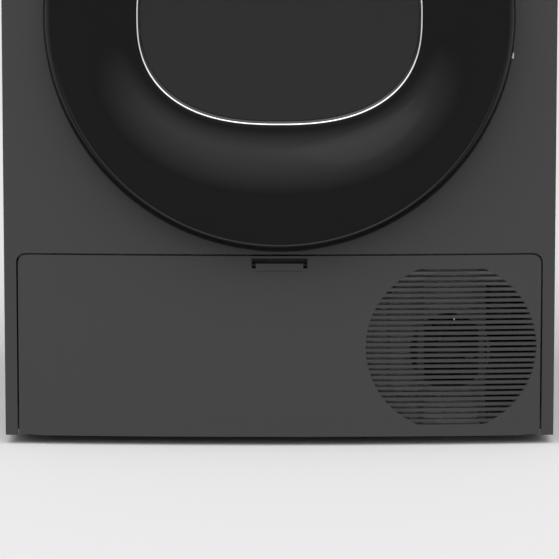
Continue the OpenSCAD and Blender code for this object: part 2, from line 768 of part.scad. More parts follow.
// Moulded inner ring: flange behind the outer ring and a plug that fills the loading mouth
module door_liner() {
    plug_r = mouth_r - 11;
    color([0.32, 0.33, 0.35]) difference() {
        union() {
            door_turn() polygon([[window_b - 2, 3.8], [door_r - 3.2, 3.8], [door_r - 3.2, 0.5],
                [plug_r, 0.5], [plug_r, -24], [window_b - 2, -24], [window_b - 2, -21],
                [plug_r - 3, -21], [plug_r - 3, 0.5 + eps], [window_b - 2, 0.5 + eps]]);
            intersection() {
                window_plate(5, door_back - 0.5 + eps, door_back + 24);
                door_turn() polygon([[0, -24], [plug_r - 1, -24], [plug_r - 1, 2], [0, 2]]);
            }
        }
        window_plate(2, -330, -250);
        hinge_pocket(0);
        block([-door_r - 5, door_back - 16, door_z - 60], [-door_r + 28, door_back + 5, door_z + 60]);
    }
}

// Tempered pane behind the trim
module door_glass() {
    color([0.05, 0.05, 0.06, 0.6]) window_plate(1.8, door_back - 3.4, door_back + 0.6);
}

// Chromed trim around the window
module door_trim() {
    color([0.85, 0.86, 0.88]) difference() {
        window_plate(3, door_back - 13, door_back - 3.9);
        window_plate(-1, -340, -250);
    }
}

// Rubber seal on the plug
module door_seal() {
    color(dark) y_tube(0, door_z, mouth_r - 3.4, mouth_r - 10.8, door_back + 4, door_back + 13);
}

// Leaf of the door's hinge: two lugs on a plate in the ring, and the pin
module door_hinge_leaf() {
    color(zinc) {
        block([222.1, door_back - 21.9, door_z - 45.9], [226, door_back - 1, door_z + 45.9]);
        for (s = [-1, 1]) block([226 - eps, door_back - 15, door_z + s * 41 - 3],
            [hinge_x + 4, door_back - 5, door_z + s * 41 + 3]);
        translate([hinge_x, hinge_y, door_z - 44]) cylinder(r = hinge_pin_r, h = 88);
    }
}

// Hinge bracket screwed to the front panel, with the knuckle that the pin turns in
module door_hinge_bracket() {
    color(zinc) difference() {
        union() {
            translate([hinge_x, hinge_y, door_z - 30]) cylinder(r = 5.6, h = 60);
            block([hinge_x - 2, hinge_y, door_z - 30], [hinge_x + 2, bow_at(hinge_x) - 1, door_z + 30]);
            intersection() {
                bow_slab(half_w, -2.4, -0.1, door_z - 40, door_z + 40);
                block([hinge_x - 12, front_y - 5, 0], [hinge_x + 4, front_y + 40, 1000]);
            }
        }
        translate([hinge_x, hinge_y, door_z - 31]) cylinder(r = hinge_pin_r + 0.06, h = 62);
    }
}

// Spring catch on the liner that snaps into the front panel's slot
module door_latch() {
    color([0.8, 0.8, 0.8]) translate([0, 0, door_z]) {
        block([-231, door_back - 0.4, -7], [-217, door_back + 11, 7]);
        block([-226, door_back + 11 - eps, -5], [-218, door_back + 16, 5]);
    }
}

// ---------- Filter, controls and feet ----------

// Lint filter: a frame with a mesh panel on each side and a grip along its top
module lint_filter() {
    color([0.15, 0.33, 0.50]) {
        difference() {
            block([-110, -258, 178], [110, -246.6, 262]);
            block([-106, -255.5, 184], [106, -249.1, 263]);
            for (i = [0:6]) block([-102 + i * 30, -260, 188], [-78 + i * 30, -240, 256]);
        }
        block([-60, -258, 262 - eps], [60, -246.6, 270]);
        for (i = [0:6]) for (y = [-257.4, -248])
            block([-102.2 + i * 30, y, 187.8], [-77.8 + i * 30, y + 0.8, 256.2]);
    }
}

// Programme knob with its spindle
module program_knob() {
    color(zinc) {
        y_rod(knob_x, knob_z, 27, front_y - 22, front_y - 1.2);
        y_rod(knob_x, knob_z, 8.4, front_y - 1.2 - eps, front_y + 8);
        y_rod(knob_x, knob_z, 3, front_y + 8 - eps, edge_y + 14);
    }
}

// Round key, standing a little ahead of the panel
module power_button() {
    color(zinc) y_rod(power_x, knob_z, 7.9, front_y - 1.2, front_y + 9);
}

// Larger key beside the display
module start_button() {
    color(zinc) y_plate(edge_y - 4.5, edge_y + 9)
        round_rect(start_x - 12.8, knob_z - 12.8, start_x + 12.8, knob_z + 12.8, 4.6);
}

// Levelling foot: a rubber-soled pad on a screw
module foot(x, y) {
    color(dark) translate([x, y, 0]) {
        cylinder(r = 21, h = 4);
        translate([0, 0, 4 - eps]) cylinder(r = 14, h = 4);
        translate([0, 0, 8 - eps]) cylinder(r = 4, h = 26);
    }
}
module foot_front_left() { foot(-foot_x, foot_y[0]); }
module foot_front_right() { foot(foot_x, foot_y[0]); }
module foot_rear_left() { foot(-foot_x, foot_y[1]); }
module foot_rear_right() { foot(foot_x, foot_y[1]); }

// Bush that leads the mains cord through the rear panel
module mains_gland() {
    color(dark) y_tube(-255, 60, 8.9, 5, back_y - 3, back_y + 9);
    color(dark) y_tube(-255, 60, 12, 8.8, back_y + sheet_t + 0.1, back_y + 5);
}

// Screws that hold the rear panel
module panel_screws() {
    color(zinc) for (x = [-288, 288]) for (z = [90, 330, 570, 800]) {
        y_rod(x, z, 4, back_y + sheet_t + 0.05, back_y + 4);
    }
}

base_pan();
left_side_panel();
right_side_panel();
rear_panel();
rear_duct_cover();
worktop();
front_panel();
control_fascia();
display_window();
control_board();
front_bulkhead();
rear_bulkhead();
drum_seals();
rear_bearing();
drum_belt();
drum_motor();
fan_housing();
compressor();
compressor_mounts();
evaporator();
condenser();
refrigerant_pipes();
condensate_pump();
pump_hose();
tank_sleeve();
cooling_fan_frame();
door_hinge_bracket();
mains_gland();
panel_screws();
heat_exchanger_cover();
cover_latch_left();
cover_latch_right();
drum_shell();
drum_back();
drum_lifters();
motor_pulley();
process_fan();
tensioner_arm();
tensioner_roller();
cooling_fan();
water_tank();
tank_front();
service_flap();
air_grille();
flap_release_lever();
door_ring();
door_liner();
door_glass();
door_trim();
door_seal();
door_hinge_leaf();
door_latch();
lint_filter();
program_knob();
power_button();
start_button();
foot_front_left();
foot_front_right();
foot_rear_left();
foot_rear_right();
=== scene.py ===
"""Looks of a free-standing heat-pump clothes dryer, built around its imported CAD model."""

import json
import logging
import math
from dataclasses import dataclass, field
from enum import Enum
from typing import Callable, Sequence

import bmesh
import bpy
from mathutils import Matrix, Vector


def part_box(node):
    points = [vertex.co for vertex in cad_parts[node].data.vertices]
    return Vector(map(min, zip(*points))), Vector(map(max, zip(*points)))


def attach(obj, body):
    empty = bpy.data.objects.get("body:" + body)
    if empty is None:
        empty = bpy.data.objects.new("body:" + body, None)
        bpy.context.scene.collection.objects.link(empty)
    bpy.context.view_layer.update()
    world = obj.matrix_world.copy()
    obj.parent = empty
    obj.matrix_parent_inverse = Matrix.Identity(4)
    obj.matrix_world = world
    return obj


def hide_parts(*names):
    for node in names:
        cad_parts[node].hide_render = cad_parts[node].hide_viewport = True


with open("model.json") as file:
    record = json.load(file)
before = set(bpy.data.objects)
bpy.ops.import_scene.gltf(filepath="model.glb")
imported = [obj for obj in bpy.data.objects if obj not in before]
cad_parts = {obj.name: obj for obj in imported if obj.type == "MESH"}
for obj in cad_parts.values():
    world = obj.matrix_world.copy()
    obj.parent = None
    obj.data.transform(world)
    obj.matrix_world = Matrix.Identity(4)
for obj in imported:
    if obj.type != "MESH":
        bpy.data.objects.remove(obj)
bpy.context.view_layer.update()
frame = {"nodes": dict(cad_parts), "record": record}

LOG = logging.getLogger("dryer")
MM = 0.001

WELD = 1e-6  # points closer than this are one, in metres
CAD_WELD = 2e-6  # the same for a CAD node's loose triangles
FACET_DEG = 0.4  # neighbouring facets flatter than this become one face
BEVEL_STEPS = 2
BEVEL_FROM_DEG = 40.0  # edges sharper than this are rounded


# ---------------------------------------------------------------- colours and node trees


def linear(hex_colour: str) -> tuple[float, float, float, float]:
    """Turn an sRGB hex colour into the linear values that shaders take.

    Args:
        hex_colour: Six hex digits, without a leading sign.

    Returns:
        Red, green and blue in linear light, and an opacity of 1.
    """
    parts = [int(hex_colour[i : i + 2], 16) / 255.0 for i in (0, 2, 4)]
    curve = [c / 12.92 if c <= 0.04045 else ((c + 0.055) / 1.055) ** 2.4 for c in parts]
    return (*curve, 1.0)


def add_node(
    tree: bpy.types.NodeTree,
    kind: str,
    settings: dict | None = None,
    inputs: dict | None = None,
    links: dict | None = None,
) -> bpy.types.Node:
    """Add one node to a tree with its settings, its socket values and its incoming links.

    Args:
        tree: The node tree that takes the node.
        kind: The node's class name.
        settings: Attributes to set on the node.
        inputs: Values for input sockets, by name or number.
        links: Output sockets to link into input sockets, by name or number.

    Returns:
        The new node.
    """
    node = tree.nodes.new(kind)
    for name, value in (settings or {}).items():
        setattr(node, name, value)
    for key, value in (inputs or {}).items():
        node.inputs[key].default_value = value
    for key, socket in (links or {}).items():
        tree.links.new(socket, node.inputs[key])
    return node


class Grain(Enum):
    """How the surface of a finish was made, which picks its pattern."""

    SPRAYED = "sprayed"
    MOULDED = "moulded"
    POLISHED = "polished"
    SPANGLED = "spangled"
    BRUSHED = "brushed"
    FIBROUS = "fibrous"
    WASHED = "washed"


@dataclass(frozen=True)
class Finish:
    """One real material and surface treatment.

    Attributes:
        name: Common name of the material and how its surface was made.
        colour: Base colour as sRGB hex.
        second: A slightly different sRGB hex that the pattern mixes in.
        grain: The way that the surface was made.
        grain_mm: Size of one cell or thread of the pattern.
        roughness: Middle value of the roughness.
        spread: How far the pattern moves the roughness either way.
        bump_mm: Height of the pattern.
        metallic: 1 for bare metal, 0 for all else.
        ior: Index of refraction of a non-metal.
        transmission: Share of light that passes through.
        specular: Specular level of a non-metal.
    """

    name: str
    colour: str
    second: str
    grain: Grain
    grain_mm: float
    roughness: float
    spread: float = 0.04
    bump_mm: float = 0.02
    metallic: float = 0.0
    ior: float = 1.5
    transmission: float = 0.0
    specular: float = 0.5

    def stretch(self) -> tuple[float, float, float]:
        """Return how the pattern is stretched along X, Y and Z."""
        if self.grain is Grain.BRUSHED:
            return (1.0, 0.04, 1.0)
        if self.grain is Grain.FIBROUS:
            return (1.0, 0.35, 1.0)
        return (1.0, 1.0, 1.0)

    def pattern(self, tree: bpy.types.NodeTree) -> bpy.types.NodeSocket:
        """Build the finish's pattern and return its grey output, from 0 to 1."""
        coord = add_node(tree, "ShaderNodeTexCoord")
        placed = add_node(
            tree,
            "ShaderNodeMapping",
            inputs={"Scale": self.stretch()},
            links={"Vector": coord.outputs["Object"]},
        )
        scale = 1.0 / (self.grain_mm * MM)
        if self.grain is Grain.SPANGLED:
            cells = add_node(
                tree,
                "ShaderNodeTexVoronoi",
                inputs={"Scale": scale, "Randomness": 1.0},
                links={"Vector": placed.outputs["Vector"]},
            )
            grey = add_node(tree, "ShaderNodeRGBToBW", links={"Color": cells.outputs["Color"]})
            return grey.outputs["Val"]
        detail = 6.0 if self.grain in (Grain.BRUSHED, Grain.FIBROUS) else 3.0
        noise = add_node(
            tree,
            "ShaderNodeTexNoise",
            inputs={"Scale": scale, "Detail": detail, "Roughness": 0.55},
            links={"Vector": placed.outputs["Vector"]},
        )
        return noise.outputs["Fac"]

    def material(self) -> bpy.types.Material:
        """Build the node material of this finish.

        Returns:
            The finished material.
        """
        mat = bpy.data.materials.new(self.name)
        mat.use_nodes = True
        tree = mat.node_tree
        shader = tree.nodes["Principled BSDF"]
        shader.inputs["Metallic"].default_value = self.metallic
        if self.metallic < 0.5:
            shader.inputs["IOR"].default_value = self.ior
            shader.inputs["Specular IOR Level"].default_value = self.specular
        shader.inputs["Transmission Weight"].default_value = self.transmission
        grey = self.pattern(tree)
        tint = add_node(
            tree,
            "ShaderNodeMix",
            {"data_type": "RGBA"},
            {6: linear(self.colour), 7: linear(self.second)},
            {0: grey},
        )
        rough = add_node(
            tree,
            "ShaderNodeMapRange",
            inputs={3: self.roughness - self.spread, 4: self.roughness + self.spread},
            links={0: grey},
        )
        bump = add_node(
            tree,
            "ShaderNodeBump",
            inputs={"Strength": 1.0, "Distance": self.bump_mm * MM},
            links={"Height": grey},
        )
        tree.links.new(tint.outputs[2], shader.inputs["Base Color"])
        tree.links.new(rough.outputs[0], shader.inputs["Roughness"])
        tree.links.new(bump.outputs["Normal"], shader.inputs["Normal"])
        return mat


# ---------------------------------------------------------------- finishes of this dryer

FINISHES: dict[str, Finish] = {
    # sheet steel, powder coated: a fine orange peel under a satin sheen
    "painted_graphite": Finish(
        "powder_coated_steel", "2a2a2b", "272728", Grain.SPRAYED, 1.6, 0.46, 0.03, 0.012, specular=0.3
    ),
    # ABS moulded in an eroded tool: an even matt grain, the same colour as the paint
    "graphite_plastic": Finish(
        "grained_graphite_abs", "2a2a2b", "272728", Grain.MOULDED, 0.9, 0.50, 0.04, 0.014, specular=0.3
    ),
    # ABS moulded in a polished tool: deep black with a faint flow waviness
    "gloss_black": Finish(
        "polished_black_abs", "070707", "090909", Grain.POLISHED, 60.0, 0.16, 0.02, 0.02,
        ior=1.45, specular=0.14,
    ),
    # chromed ABS: mirror bright
    "chrome_trim": Finish(
        "chromed_abs", "e6e7ea", "dcdde0", Grain.POLISHED, 20.0, 0.07, 0.02, 0.002, metallic=1.0
    ),
    # tempered glass with a smoke tint
    "smoked_glass": Finish(
        "smoked_tempered_glass", "0c0c0d", "0a0a0b", Grain.POLISHED, 40.0, 0.05, 0.01, 0.001,
        transmission=0.6, specular=0.2,
    ),
    # hot-dip galvanised sheet: large zinc crystals
    "galvanised": Finish(
        "galvanised_sheet", "9a9da0", "b4b7ba", Grain.SPANGLED, 14.0, 0.42, 0.08, 0.004, metallic=1.0
    ),
    # stainless sheet, rolled and lightly brushed
    "drum_steel": Finish(
        "brushed_stainless_steel", "b9bbbd", "c9cbcd", Grain.BRUSHED, 0.8, 0.28, 0.07, 0.004, metallic=1.0
    ),
    # polypropylene with carbon black, eroded tool
    "black_plastic": Finish(
        "matt_black_polypropylene", "232324", "1e1e1f", Grain.MOULDED, 1.1, 0.55, 0.05, 0.02
    ),
    # talc-filled polypropylene, natural grey
    "grey_plastic": Finish(
        "grey_polypropylene", "8a8b8d", "818284", Grain.MOULDED, 1.2, 0.5, 0.05, 0.02
    ),
    # polypropylene, milky white
    "white_plastic": Finish(
        "milky_polypropylene", "d6d8da", "cdd0d2", Grain.MOULDED, 1.5, 0.38, 0.05, 0.012, transmission=0.12
    ),
    # glass-filled nylon dyed blue for parts that the user touches
    "blue_plastic": Finish(
        "blue_nylon", "2c5a80", "26506f", Grain.MOULDED, 1.0, 0.42, 0.05, 0.015
    ),
    # nitrile rubber, dusty matt
    "rubber": Finish(
        "nitrile_rubber", "1d1d1e", "252526", Grain.MOULDED, 2.5, 0.72, 0.06, 0.03
    ),
    # needled wool felt: short tangled fibres
    "felt": Finish(
        "needled_wool_felt", "b3b0a6", "98958b", Grain.FIBROUS, 0.9, 0.93, 0.04, 0.25
    ),
    # sintered bronze
    "bronze": Finish(
        "sintered_bronze", "b58a4f", "9c7540", Grain.MOULDED, 0.8, 0.4, 0.07, 0.01, metallic=1.0
    ),
    # drawn copper tube with a slight tarnish
    "copper": Finish(
        "drawn_copper", "c07a52", "a0603e", Grain.WASHED, 18.0, 0.32, 0.1, 0.006, metallic=1.0
    ),
    # rolled aluminium foil of the fins
    "aluminium_fins": Finish(
        "rolled_aluminium", "cfd1d3", "bfc1c4", Grain.WASHED, 6.0, 0.36, 0.08, 0.006, metallic=1.0
    ),
    # glass-epoxy laminate under green solder resist
    "circuit_board": Finish(
        "glass_epoxy_laminate", "1f5a34", "1a4c2c", Grain.MOULDED, 0.8, 0.35, 0.05, 0.01
    ),
    # stoving enamel on castings and cans
    "motor_paint": Finish(
        "stoving_enamel", "2d2e31", "343538", Grain.SPRAYED, 2.4, 0.38, 0.05, 0.02
    ),
    # zinc die casting, satin plated
    "satin_metal": Finish(
        "satin_zinc_casting", "a2a4a8", "b0b2b6", Grain.BRUSHED, 0.6, 0.3, 0.05, 0.003, metallic=1.0
    ),
}

# floor covering, almost matt: a faint unevenness keeps it from looking painted on
FLOOR_FINISH = Finish(
    "pale_studio_vinyl", "b8b8b8", "b4b4b4", Grain.MOULDED, 4.0, 0.75, 0.04, 0.01, specular=0.2
)

MATERIALS: dict[str, bpy.types.Material] = {}


def dress(piece: bpy.types.Object, slot: str) -> None:
    """Give a piece the finish of one of the record's material slots.

    Args:
        piece: The object to dress.
        slot: The material slot's name, which is a key of FINISHES.
    """
    if slot not in MATERIALS:
        MATERIALS[slot] = FINISHES[slot].material()
    piece.data.materials.clear()
    piece.data.materials.append(MATERIALS[slot])


def mount(piece: bpy.types.Object, slot: str, body: str, node: str = "") -> None:
    """Dress a new piece, parent it to its body's empty and hide the CAD node that it stands for, if one is
    given.

    Args:
        piece: The new piece.
        slot: Material slot that it takes its finish from.
        body: The body that it rides on.
        node: The CAD node that it stands for, if any.
    """
    dress(piece, slot)
    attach(piece, body)
    if node:
        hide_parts(node)
    LOG.info("piece %s on %s", piece.name, body)


# ---------------------------------------------------------------- mesh tools


def finish_mesh(
    bm: bmesh.types.BMesh, name: str, smooth_deg: float = 35.0, recalc: bool = True
) -> bpy.types.Object:
    """Turn a bmesh into an object at the origin, with outward faces and smooth curved sides.

    Args:
        bm: The mesh, in metres, in the dryer's frame. It is freed.
        name: The piece's name.
        smooth_deg: Edges sharper than this stay crisp.
        recalc: Whether to turn all faces outwards.

    Returns:
        The new object, linked to the scene.
    """
    bmesh.ops.remove_doubles(bm, verts=bm.verts[:], dist=WELD)
    if recalc:
        bmesh.ops.recalc_face_normals(bm, faces=bm.faces[:])
    mesh = bpy.data.meshes.new(name)
    bm.to_mesh(mesh)
    bm.free()
    mesh.shade_smooth()
    mesh.set_sharp_from_angle(angle=math.radians(smooth_deg))
    piece = bpy.data.objects.new(name, mesh)
    bpy.context.scene.collection.objects.link(piece)
    return piece


def add_bevel(piece: bpy.types.Object, width_mm: float) -> None:
    """Round a piece's sharp edges with a live bevel of a width in millimetres."""
    bevel = piece.modifiers.new("rounded_edges", "BEVEL")
    bevel.width = width_mm * MM
    bevel.segments = BEVEL_STEPS
    bevel.limit_method = "ANGLE"
    bevel.angle_limit = math.radians(BEVEL_FROM_DEG)
    bevel.harden_normals = True
    bevel.use_clamp_overlap = True


def bake_modifiers(piece: bpy.types.Object) -> None:
    """Apply all modifiers of a piece to its mesh."""
    graph = bpy.context.evaluated_depsgraph_get()
    done = bpy.data.meshes.new_from_object(piece.evaluated_get(graph))
    old = piece.data
    piece.modifiers.clear()
    piece.data = done
    bpy.data.meshes.remove(old)


def box_mesh(low: Sequence[float], high: Sequence[float]) -> bmesh.types.BMesh:
    """Return a bmesh box between two corners, in metres."""
    bm = bmesh.new()
    size = [b - a for a, b in zip(low, high)]
    middle = [(a + b) / 2 for a, b in zip(low, high)]
    bmesh.ops.create_cube(bm, size=1.0)
    bmesh.ops.scale(bm, vec=size, verts=bm.verts[:])
    bmesh.ops.translate(bm, vec=middle, verts=bm.verts[:])
    return bm


def cut_box(piece: bpy.types.Object, low: Sequence[float], high: Sequence[float]) -> None:
    """Cut a box out of a piece.

    Args:
        piece: The object to cut.
        low: Lowest corner of the box, in metres.
        high: Highest corner of the box, in metres.
    """
    tool = finish_mesh(box_mesh(low, high), "cutter")
    cut = piece.modifiers.new("cut", "BOOLEAN")
    cut.operation = "DIFFERENCE"
    cut.solver = "EXACT"
    cut.object = tool
    bake_modifiers(piece)
    bpy.data.objects.remove(tool)


def refine(node: str, slot: str, body: str, bevel_mm: float) -> None:
    """Stand a clean copy of a CAD node in its place, with merged facets and rounded edges.

    Args:
        node: The CAD node's name.
        slot: Material slot of the copy.
        body: The body that the copy rides on.
        bevel_mm: Width of the rounded edges.
    """
    bm = bmesh.new()
    bm.from_mesh(frame["nodes"][node].data)
    bmesh.ops.remove_doubles(bm, verts=bm.verts[:], dist=CAD_WELD)
    flat = math.radians(FACET_DEG)
    bmesh.ops.dissolve_limit(bm, angle_limit=flat, verts=bm.verts[:], edges=bm.edges[:])
    piece = finish_mesh(bm, node + "_finished", 32.0, recalc=False)
    mount(piece, slot, body, node)
    add_bevel(piece, bevel_mm)


class LoopLoft:
    """A closed skin drawn loop by loop around an axis along Y, by extruding one edge ring."""

    def __init__(self, centre: Vector, segments: int) -> None:
        """Start with one ring.

        Args:
            centre: A point on the axis, in metres.
            segments: Number of edges round the ring.
        """
        self.centre = centre
        self.bm = bmesh.new()
        ring = bmesh.ops.create_circle(self.bm, cap_ends=False, radius=1.0, segments=segments)
        upright = Matrix.Rotation(math.pi / 2, 3, "X")
        bmesh.ops.rotate(self.bm, verts=ring["verts"], cent=(0, 0, 0), matrix=upright)
        self.turn = self.bm.verts.layers.float.new("turn")
        for v in self.bm.verts:
            v[self.turn] = math.atan2(v.co.z, v.co.x)
        self.edges = list(self.bm.edges)
        self.first = list(self.bm.edges)
        self.started = False

    def station(self, radius: Callable[[float], float], ahead: float) -> None:
        """Add one loop, or place the first.

        Args:
            radius: Radius for an angle, in millimetres.
            ahead: The loop's distance in front of the centre, in millimetres.
        """
        if self.started:
            grown = bmesh.ops.extrude_edge_only(self.bm, edges=self.edges)
            self.edges = [g for g in grown["geom"] if isinstance(g, bmesh.types.BMEdge)]
        self.started = True
        for v in {v for e in self.edges for v in e.verts}:
            t = v[self.turn]
            reach = radius(t)
            v.co = self.centre + Vector((reach * math.cos(t), -ahead, reach * math.sin(t))) * MM

    def circle(self, radius: float, ahead: float) -> None:
        """Add one round loop, in millimetres."""
        self.station(lambda t: radius, ahead)

    def close_tube(self) -> bmesh.types.BMesh:
        """Join the last loop to the first and return the mesh."""
        bmesh.ops.bridge_loops(self.bm, edges=self.first + self.edges)
        return self.bm

    def close_ends(self) -> bmesh.types.BMesh:
        """Fill the last and the first loop with fans around their middles and return the mesh."""
        for edges in (self.edges, self.first):
            made = bmesh.ops.edgeloop_fill(self.bm, edges=edges)
            bmesh.ops.poke(self.bm, faces=made["faces"])
        return self.bm


# ---------------------------------------------------------------- stage, camera and light


@dataclass
class Studio:
    """Camera, lights and the plain floor.

    Attributes:
        distance: Camera's distance from the middle of its view, in metres.
        pitch_deg: How far the camera looks down.
        view_width: Width of the view at the front panel, in metres.
        view_z: Height on the front panel that the camera looks at, in metres.
        behind: How far the middle of the view lies behind the front's foremost line, in metres.
        sensor_mm: Width of the camera's sensor.
        sky_low: Sine of the elevation at which the sky starts to brighten.
        sky_high: Sine of the elevation of its full brightness.
        sky_edge: How far the sky's brighter front fades out round the sides, as a part of 1.
        sky_gain: How much brighter it gets.
        sky_base: Brightness all round.
        key_place: Where the lamp hangs, in metres.
        key_aim: The point that it faces.
        key_size: Its width and height, in metres.
        key_watts: Its power.
        floor_half: Half the floor's width, in metres.
    """

    distance: float = 4.5
    pitch_deg: float = 8.8
    view_width: float = 0.6040
    view_z: float = 0.1820
    behind: float = 0.006
    sensor_mm: float = 36.0
    sky_low: float = -0.08
    sky_high: float = 0.78
    sky_edge: float = 0.35
    sky_gain: float = 3.5
    sky_base: float = 0.35
    key_place: tuple[float, float, float] = (-1.4, -3.0, 3.4)
    key_aim: tuple[float, float, float] = (0.0, -0.3, 0.4)
    key_size: tuple[float, float] = (2.6, 2.6)
    key_watts: float = 20.0
    floor_half: float = 30.0

    def camera(self) -> None:
        """Place the camera straight ahead of the front and a little above it."""
        pitch = math.radians(self.pitch_deg)
        target_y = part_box("front_panel")[0].y + self.behind
        data = bpy.data.cameras.new("camera")
        data.sensor_width = self.sensor_mm
        data.lens = self.sensor_mm * self.distance / self.view_width
        data.clip_end = 100.0
        camera = bpy.data.objects.new("camera", data)
        bpy.context.scene.collection.objects.link(camera)
        camera.location = (
            0.0,
            target_y - self.distance * math.cos(pitch),
            self.view_z + self.distance * math.sin(pitch),
        )
        camera.rotation_euler = (math.pi / 2 - pitch, 0.0, 0.0)
        bpy.context.scene.camera = camera

    def lamp(self) -> None:
        """Hang one large soft lamp in front, above and to the left."""
        data = bpy.data.lights.new("key", "AREA")
        data.shape = "RECTANGLE"
        data.size, data.size_y = self.key_size
        data.energy = self.key_watts
        light = bpy.data.objects.new("key", data)
        bpy.context.scene.collection.objects.link(light)
        light.location = self.key_place
        way = Vector(self.key_aim) - Vector(self.key_place)
        light.rotation_euler = way.to_track_quat("-Z", "Y").to_euler()

    def sky(self) -> None:
        """Light the dryer with a wide soft sky in front of it, brighter towards the top."""
        world = bpy.data.worlds.new("studio")
        bpy.context.scene.world = world
        world.use_nodes = True
        tree = world.node_tree
        back = tree.nodes["Background"]
        back.inputs["Color"].default_value = (1.0, 1.0, 1.0, 1.0)
        coord = add_node(tree, "ShaderNodeTexCoord")
        split = add_node(tree, "ShaderNodeSeparateXYZ", links={0: coord.outputs["Generated"]})
        rise = add_node(
            tree,
            "ShaderNodeMapRange",
            inputs={1: self.sky_low, 2: self.sky_high},
            links={0: split.outputs["Z"]},
        )
        ahead = add_node(
            tree,
            "ShaderNodeMapRange",
            {"interpolation_type": "SMOOTHSTEP"},
            {1: self.sky_edge, 2: -self.sky_edge},
            {0: split.outputs["Y"]},
        )
        both = add_node(
            tree,
            "ShaderNodeMath",
            {"operation": "MULTIPLY"},
            links={0: rise.outputs[0], 1: ahead.outputs[0]},
        )
        light = add_node(
            tree,
            "ShaderNodeMath",
            {"operation": "MULTIPLY_ADD"},
            {1: self.sky_gain, 2: self.sky_base},
            {0: both.outputs[0]},
        )
        tree.links.new(light.outputs[0], back.inputs["Strength"])

    def floor(self) -> None:
        """Lay a wide pale floor."""
        bm = bmesh.new()
        bmesh.ops.create_grid(bm, x_segments=8, y_segments=8, size=self.floor_half)
        floor = finish_mesh(bm, "floor")
        floor.data.materials.append(FLOOR_FINISH.material())

    def build(self) -> None:
        """Build the whole studio."""
        self.camera()
        self.sky()
        self.floor()
        self.lamp()


# ---------------------------------------------------------------- door


